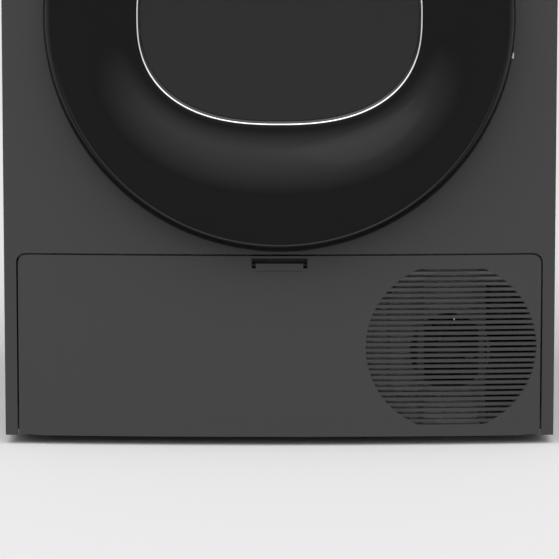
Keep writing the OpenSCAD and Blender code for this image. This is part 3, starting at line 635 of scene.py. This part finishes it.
@dataclass
class Door:
    """The round door: gloss ring, chromed trim and smoked window.

    All sizes are in millimetres, measured from the door's centre and its back plane.

    Attributes:
        body: The body that the door's pieces ride on.
        segments: Number of edges round each loop.
        rim_r: Radius of the door.
        crown: Height of the rim's highest line.
        face: Height of the flat face inside the rim.
        land: Width of the rim, from the outside to the flat face.
        dish_a: Half the width of the dish.
        dish_b: Half its height.
        dish_n: How squarish its oval is; 2 is an ellipse.
        dish_depth: Depth of the dish at the window.
        dish_knee: Share of the way in at which the dish's slope turns from growing to easing.
        dish_steps: Number of loops down the dish.
        window_a: Half the width of the window's opening.
        window_b: Half its height.
        window_n: How squarish its oval is.
        window_lip: How far the dish's foot stands outside the window's opening.
        wall: Thickness of the ring's shell behind the dish.
        trim_drop: How far the trim's shoulder lies under the dish's foot.
        trim_outer: How far the trim's outer wall stands outside the window's opening.
        trim_mid: How far the middle of the trim's bead stands outside the opening.
        trim_half: Half the bead's width.
        trim_rise: Height of the bead.
        pane_grow: How far the pane reaches under the trim.
        pane_back: Height of the pane's rear edge.
        pane_edge: Thickness of the pane at its edge.
        pane_dome: How far its outer face bulges.
        pane_hollow: How far its inner face is hollowed.
    """

    body: str = "door"
    segments: int = 216
    rim_r: float = 252.0
    crown: float = 34.8
    face: float = 34.2
    land: float = 13.0
    dish_a: float = 220.0
    dish_b: float = 196.0
    dish_n: float = 2.2
    dish_depth: float = 22.0
    dish_knee: float = 0.68
    dish_steps: int = 30
    window_a: float = 150.0
    window_b: float = 113.5
    window_n: float = 2.5
    window_lip: float = 5.0
    wall: float = 4.0
    trim_drop: float = 1.2
    trim_outer: float = 2.9
    trim_mid: float = 1.9
    trim_half: float = 0.95
    trim_rise: float = 1.0
    pane_grow: float = 1.7
    pane_back: float = -0.4
    pane_edge: float = 3.4
    pane_dome: float = 3.0
    pane_hollow: float = 2.0
    centre: Vector = field(default_factory=Vector)

    def place(self) -> None:
        """Take the door's centre and back plane from the frame."""
        low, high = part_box("door_ring")
        self.centre = Vector((0.0, high.y, (low.z + high.z) / 2))

    @staticmethod
    def oval(turn: float, a: float, b: float, n: float) -> float:
        """Return the radius of a squarish oval for an angle."""
        return ((abs(math.cos(turn)) / a) ** n + (abs(math.sin(turn)) / b) ** n) ** (-1 / n)

    def window(self, turn: float, grow: float = 0.0) -> float:
        """Return the radius of the window's outline, grown by a margin, for an angle."""
        return self.oval(turn, self.window_a + grow, self.window_b + grow, self.window_n)

    def edge(self, turn: float) -> float:
        """Return the radius at which the dish starts, for an angle."""
        return self.oval(turn, self.dish_a, self.dish_b, self.dish_n)

    def inward(self, turn: float, share: float, grow: float) -> float:
        """Return the radius at a share of the way from the dish's edge to the grown window."""
        return self.edge(turn) + share * (self.window(turn, grow) - self.edge(turn))

    def outward(self, turn: float, share: float) -> float:
        """Return the radius at a share of the way from the rim's inner edge to the dish's edge."""
        start = self.rim_r - self.land
        return start + share * (self.edge(turn) - start)

    def dish(self, share: float) -> float:
        """Return how deep the dish is at a share of the way from its edge to the window."""
        if share < self.dish_knee:
            fall = share * share / self.dish_knee
        else:
            fall = 1.0 - (1.0 - share) ** 2 / (1.0 - self.dish_knee)
        return self.dish_depth * fall

    def rim(self, loft: LoopLoft) -> None:
        """Draw the rounded rim with its thin raised lip, from the back plane to the flat face."""
        side = [(0.6, 0.0), (0.0, 0.6), (0.0, 16.0), (0.5, 21.0), (1.7, 25.5), (3.6, 29.6)]
        top = [(5.8, 32.6), (7.0, 34.0), (7.5, 34.55), (8.0, self.crown), (8.5, 34.75), (9.1, 34.2)]
        groove = [(9.7, self.face - 0.45), (10.6, self.face - 0.2), (self.land, self.face)]
        for inset, ahead in side + top + groove:
            loft.circle(self.rim_r - inset, ahead)

    def shell_front(self, loft: LoopLoft) -> None:
        """Draw the flat face, the dish and the step down into the window's opening."""
        for share in (0.3, 0.6, 0.85):
            loft.station(lambda t, s=share: self.outward(t, s), self.face)
        for i in range(self.dish_steps + 1):
            share = i / self.dish_steps
            ahead = self.face - self.dish(share)
            loft.station(lambda t, s=share: self.inward(t, s, self.window_lip), ahead)
        foot = self.face - self.dish_depth
        for grow, drop in [(4.0, 0.15), (3.4, 0.8), (3.2, 2.5), (3.2, 6.0), (5.0, 6.0), (8.0, 6.0)]:
            loft.station(lambda t, g=grow: self.window(t, g), foot - drop)

    def shell_back(self, loft: LoopLoft) -> None:
        """Draw the back of the shell, from the window's opening out to the rim's foot."""
        steps = self.dish_steps // 3
        for i in range(steps + 1):
            share = 1.0 - i / steps
            ahead = self.face - self.wall - self.dish(share)
            loft.station(lambda t, s=share: self.inward(t, s, 8.2), ahead)
        for inset, ahead in [(14.0, 30.6), (9.5, 29.6), (5.0, 27.0), (3.4, 18.0), (3.1, 0.6), (2.4, 0.0)]:
            loft.circle(self.rim_r - inset, ahead)

    def ring(self) -> None:
        """Build the gloss outer ring as one closed shell."""
        loft = LoopLoft(self.centre, self.segments)
        self.rim(loft)
        self.shell_front(loft)
        self.shell_back(loft)
        piece = finish_mesh(loft.close_tube(), "door_outer_ring", 28.0)
        self.notch(piece, x0=222.0, x1=262.0, ahead=22.0, half_z=46.0)  # the hinge works here
        self.notch(piece, x0=-257.0, x1=-228.0, ahead=16.0, half_z=60.0)  # fingers pull here
        mount(piece, "gloss_black", self.body, "door_ring")

    def notch(self, piece: bpy.types.Object, x0: float, x1: float, ahead: float, half_z: float) -> None:
        """Cut a box out of the ring's back, level with the door's centre.

        Args:
            piece: The ring.
            x0: Where the box starts, from the centre.
            x1: Where it ends.
            ahead: How far it reaches in front of the back plane.
            half_z: Half its height.
        """
        overrun = 8.0
        low = self.centre + Vector((x0, -ahead, -half_z)) * MM
        high = self.centre + Vector((x1, overrun, half_z)) * MM
        cut_box(piece, low, high)

    def trim(self) -> None:
        """Build the chromed bead around the window."""
        loft = LoopLoft(self.centre, self.segments)
        seat = self.face - self.dish_depth - self.trim_drop
        profile = [(self.trim_outer, seat - 6.0), (self.trim_outer, seat)]
        for i in range(7):
            angle = math.pi * i / 6
            grow = self.trim_mid + self.trim_half * math.cos(angle)
            profile.append((grow, seat + 0.1 + self.trim_rise * math.sin(angle)))
        profile += [(0.8, seat - 0.6), (-0.2, seat - 2.4), (-1.0, seat - 6.0)]
        for grow, ahead in profile:
            loft.station(lambda t, g=grow: self.window(t, g), ahead)
        piece = finish_mesh(loft.close_tube(), "window_trim", 40.0)
        mount(piece, "chrome_trim", self.body, "door_trim")

    def glass(self) -> None:
        """Build the slightly domed window pane, from the middle of its back round to its front."""
        loft = LoopLoft(self.centre, self.segments)
        shares = (0.02, 0.2, 0.4, 0.6, 0.8, 1.0)
        inner = [(s, self.pane_back + self.pane_hollow * (1.0 - s * s)) for s in shares]
        front = self.pane_back + self.pane_edge
        outer = [(s, front + self.pane_dome * (1.0 - s * s)) for s in reversed(shares)]
        for share, ahead in inner + outer:
            loft.station(lambda t, s=share: self.window(t, self.pane_grow) * s, ahead)
        piece = finish_mesh(loft.close_ends(), "window_pane", 30.0)
        mount(piece, "smoked_glass", self.body, "door_glass")

    def build(self) -> None:
        """Build the door's pieces."""
        self.place()
        self.ring()
        self.trim()
        self.glass()


# ---------------------------------------------------------------- controls

Outline = Sequence[tuple[float, float]]


@dataclass
class Controls:
    """The programme knob and the printed marks on the control panel, in millimetres.

    Attributes:
        bow: How far the front's middle stands ahead of its sides.
        knob_r: Radius of the knob.
        knob_face: How far the knob's dished face stands ahead of the front.
        flutes: Number of grip flutes round the knob.
        ticks: Number of programme marks round the knob.
        tick_r: Radius at which they start.
        digits: Where the display's digits stand and their lit segments.
        digit_h: Height of a digit.
        signs: Number of programme signs in the display.
        sign_x: Middle of the first.
        sign_pitch: Distance from one to the next.
        window_back: How far the display's window lies behind the bowed front.
        raise_mm: How far a print stands ahead of its surface.
        sink_mm: How far it reaches behind it.
    """

    bow: float = 12.0
    knob_r: float = 27.0
    knob_face: float = 21.2
    flutes: int = 36
    ticks: int = 16
    tick_r: float = 31.5
    digits: tuple[tuple[float, str], ...] = ((96.0, "bc"), (112.0, "fgbc"), (122.0, "afgcd"))
    digit_h: float = 11.0
    signs: int = 5
    sign_x: float = 146.0
    sign_pitch: float = 17.0
    window_back: float = 0.4
    raise_mm: float = 0.18
    sink_mm: float = 0.12
    front_y: float = field(init=False)
    bow_r: float = field(init=False)
    knob_z: float = field(init=False)

    def place(self) -> None:
        """Take the front's bow and the height of the knob's axis from the frame."""
        low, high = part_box("front_panel")
        half = high.x / MM
        self.front_y = low.y / MM
        self.bow_r = (half**2 + self.bow**2) / (2 * self.bow)
        self.knob_z = self.middle("program_knob")[1]

    @staticmethod
    def middle(node: str) -> tuple[float, float]:
        """Return the middle of a CAD node's box in X and Z."""
        low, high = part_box(node)
        return ((low.x + high.x) / 2 / MM, (low.z + high.z) / 2 / MM)

    def surface(self, x: float) -> float:
        """Return where the bowed front stands at a distance from its middle."""
        return self.front_y + self.bow_r - math.sqrt(self.bow_r**2 - x * x)

    def mark(self, bm: bmesh.types.BMesh, outline: Outline, surface: Callable[[float], float]) -> None:
        """Add one flat printed mark to a mesh.

        Args:
            bm: The mesh that takes it.
            outline: Its corners in X and Z.
            surface: The Y of the surface under it, for an X.
        """
        rings = []
        for shift in (-self.raise_mm, self.sink_mm):
            rings.append([bm.verts.new(Vector((x, surface(x) + shift, z)) * MM) for x, z in outline])
        front, back = rings
        count = len(outline)
        bm.faces.new(front)
        bm.faces.new(back[::-1])
        for i in range(count):
            j = (i + 1) % count
            bm.faces.new((front[j], front[i], back[i], back[j]))

    @staticmethod
    def bar(x0: float, z0: float, x1: float, z1: float, width: float) -> Outline:
        """Return the four corners of a straight bar: both at one end, then both at the other.

        The two ends are taken in the same order, so the outline crosses itself half-way along.
        """
        along = Vector((x1 - x0, z1 - z0)).normalized() * (width / 2)
        side = Vector((-along.y, along.x))
        first, last = Vector((x0, z0)), Vector((x1, z1))
        return [tuple(corner) for corner in (first + side, first - side, last + side, last - side)]

    def arc(self, x: float, z: float, r: float, width: float, start: float, end: float) -> list[Outline]:
        """Return short bars that follow an arc, for angles in degrees."""
        steps = 18
        points = []
        for i in range(steps + 1):
            a = math.radians(start + (end - start) * i / steps)
            points.append((x + r * math.cos(a), z + r * math.sin(a)))
        return [self.bar(*points[i], *points[i + 1], width) for i in range(steps)]

    def digit(self, x: float, z: float, lit: str) -> list[Outline]:
        """Return the bars of one seven-segment digit, named by its lit segments from a to g."""
        w, h, t = self.digit_h * 0.5, self.digit_h, self.digit_h * 0.1
        lines = {
            "a": (0, h, w, h),
            "b": (w, h, w, h / 2),
            "c": (w, h / 2, w, 0),
            "d": (0, 0, w, 0),
            "e": (0, 0, 0, h / 2),
            "f": (0, h / 2, 0, h),
            "g": (0, h / 2, w, h / 2),
        }
        found = []
        for name in lit:
            start, end = Vector(lines[name][:2]), Vector(lines[name][2:])
            gap = (end - start).normalized() * t * 0.7
            shift = Vector((x, z))
            found.append(self.bar(*(shift + start + gap), *(shift + end - gap), t))
        return found

    def prints(
        self, name: str, marks: Sequence[Outline], slot: str, body: str, surface: Callable[[float], float]
    ) -> None:
        """Make one piece out of several marks.

        Args:
            name: The piece's name.
            marks: The marks' outlines in X and Z.
            slot: Material slot of the ink.
            body: The body that carries the print.
            surface: The Y of the surface under the print, for an X.
        """
        bm = bmesh.new()
        for outline in marks:
            self.mark(bm, outline, surface)
        mount(finish_mesh(bm, name), slot, body)

    def knob(self) -> None:
        """Build the fluted knob with its spindle, from its dished face back to the spindle's end."""
        axis = Vector((0.0, self.front_y, self.knob_z)) * MM
        loft = LoopLoft(axis, self.flutes * 6)
        full = self.knob_r
        face = self.knob_face
        dished = [(0.4, face), (full - 6.0, face), (full - 4.6, 21.4), (full - 4.0, 21.9)]
        brim = [(full - 3.4, 22.0), (full - 2.6, 21.8), (full - 2.1, 21.2), (full - 1.9, 20.2)]
        fluted = [(full - 1.7, 19.2, 0.5), (full - 0.6, 7.0, 0.7)]
        skirt = [(full - 0.5, 6.0), (full - 0.1, 5.2), (full, 2.0), (full - 0.3, 1.4), (full - 0.8, 1.2)]
        spindle = [(8.4, 1.2), (8.4, -8.0), (3.0, -8.0), (3.0, -26.0)]

        def flute(turn: float, radius: float, depth: float) -> float:
            """Return the radius for an angle, with the grip flutes cut in."""
            return radius - depth * (0.5 + 0.5 * math.cos(self.flutes * turn)) ** 2

        for radius, ahead in dished + brim:
            loft.circle(radius, ahead)
        for radius, ahead, depth in fluted:
            loft.station(lambda t, r=radius, d=depth: flute(t, r, d), ahead)
        for radius, ahead in skirt + spindle:
            loft.circle(radius, ahead)
        piece = finish_mesh(loft.close_ends(), "fluted_knob", 30.0)
        mount(piece, "satin_metal", "program_knob", "program_knob")

    def knob_marks(self) -> None:
        """Print the knob's pointer and the programme marks round it, each fourth one longer."""
        z = self.knob_z
        line = self.bar(0.0, z + 9.0, 0.0, z + 19.0, 1.6)
        face = self.front_y - self.knob_face
        self.prints("knob_pointer", [line], "gloss_black", "program_knob", lambda x: face)
        ticks = []
        for i in range(self.ticks):
            a = math.radians(90.0 - 360.0 * i / self.ticks)
            near = Vector((math.cos(a), math.sin(a))) * self.tick_r
            far = near.normalized() * (self.tick_r + (4.0 if i % 4 == 0 else 2.0))
            ticks.append(self.bar(near.x, z + near.y, far.x, z + far.y, 0.9))
        self.prints("programme_marks", ticks, "white_plastic", "cabinet", self.surface)

    def display(self) -> None:
        """Print the display's remaining time and its row of programme signs."""
        z = self.knob_z
        foot = z - self.digit_h / 2
        figures = []
        for x, lit in self.digits:
            figures += self.digit(x, foot, lit)
        figures += [self.bar(106.0, foot + k, 107.4, foot + k, 1.4) for k in (3.0, 8.0)]
        for i in range(self.signs):
            x = self.sign_x + self.sign_pitch * i
            figures += self.arc(x, z + 2.0, 3.6, 0.7, 0.0, 360.0)
            figures.append(self.bar(x - 4.5, z - 9.0, x + 4.5, z - 9.0, 0.8))
            if i % 2:
                figures.append(self.bar(x - 2.0, z + 2.0, x + 2.0, z + 2.0, 0.7))

        def window(x: float) -> float:
            """Return where the display's window stands, for an X."""
            return self.surface(x) + self.window_back

        self.prints("display_figures", figures, "white_plastic", "cabinet", window)

    def key_marks(self) -> None:
        """Print the power key's and the start key's signs."""
        x, z = self.middle("power_button")
        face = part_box("power_button")[0].y / MM
        power = self.arc(x, z, 3.0, 0.8, 125.0, 415.0)
        power.append(self.bar(x, z + 0.8, x, z + 4.2, 0.8))
        self.prints("power_mark", power, "gloss_black", "power_button", lambda x: face)
        x, z = self.middle("start_button")
        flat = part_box("start_button")[0].y / MM
        start = [[(x - 5.0, z - 3.6), (x + 0.6, z), (x - 5.0, z + 3.6)]]
        start += [self.bar(x + k, z - 3.6, x + k, z + 3.6, 1.2) for k in (2.6, 5.0)]
        self.prints("start_mark", start, "gloss_black", "start_button", lambda x: flat)

    def build(self) -> None:
        """Build the knob and every print."""
        self.place()
        self.knob()
        self.knob_marks()
        self.display()
        self.key_marks()


# ---------------------------------------------------------------- cabinet and the rest


@dataclass
class Assembly:
    """All CAD nodes that keep their shape.

    Attributes:
        rounded: The nodes that get rounded edges, with the width of the rounding in millimetres.
    """

    rounded: dict[str, float] = field(
        default_factory=lambda: {
            "front_panel": 0.9,
            "control_fascia": 0.9,
            "worktop": 2.0,
            "left_side_panel": 0.4,
            "right_side_panel": 0.4,
            "rear_duct_cover": 0.4,
            "service_flap": 1.0,
            "air_grille": 0.35,
            "flap_release_lever": 0.8,
            "tank_front": 1.0,
            "display_window": 0.5,
            "power_button": 0.5,
            "start_button": 0.5,
            "heat_exchanger_cover": 0.6,
            "cover_latch_left": 0.6,
            "cover_latch_right": 0.6,
            "lint_filter": 0.4,
            "front_bulkhead": 1.0,
            "drum_lifters": 2.0,
            "door_liner": 1.0,
            "cooling_fan_frame": 0.8,
        }
    )

    def build(self) -> None:
        """Dress every CAD node and round the edges of those that are seen closest."""
        slots = {s["node"]: s["material_slot"] for s in frame["record"]["subparts"]}
        bodies = frame["record"]["behaviour"]["bodies"]
        body_of = {node: body for body, nodes in bodies.items() for node in nodes}
        for node, slot in slots.items():
            dress(frame["nodes"][node], slot)
            if node in self.rounded:
                refine(node, slot, body_of[node], self.rounded[node])
            LOG.info("node %s in %s", node, slot)


def main() -> None:
    """Build the studio and every piece."""
    logging.basicConfig(level=logging.INFO, format="%(name)s: %(message)s")
    bpy.context.scene.view_settings.view_transform = "Standard"
    Studio().build()
    Assembly().build()
    Controls().build()
    Door().build()


if __name__ == "__main__":
    main()
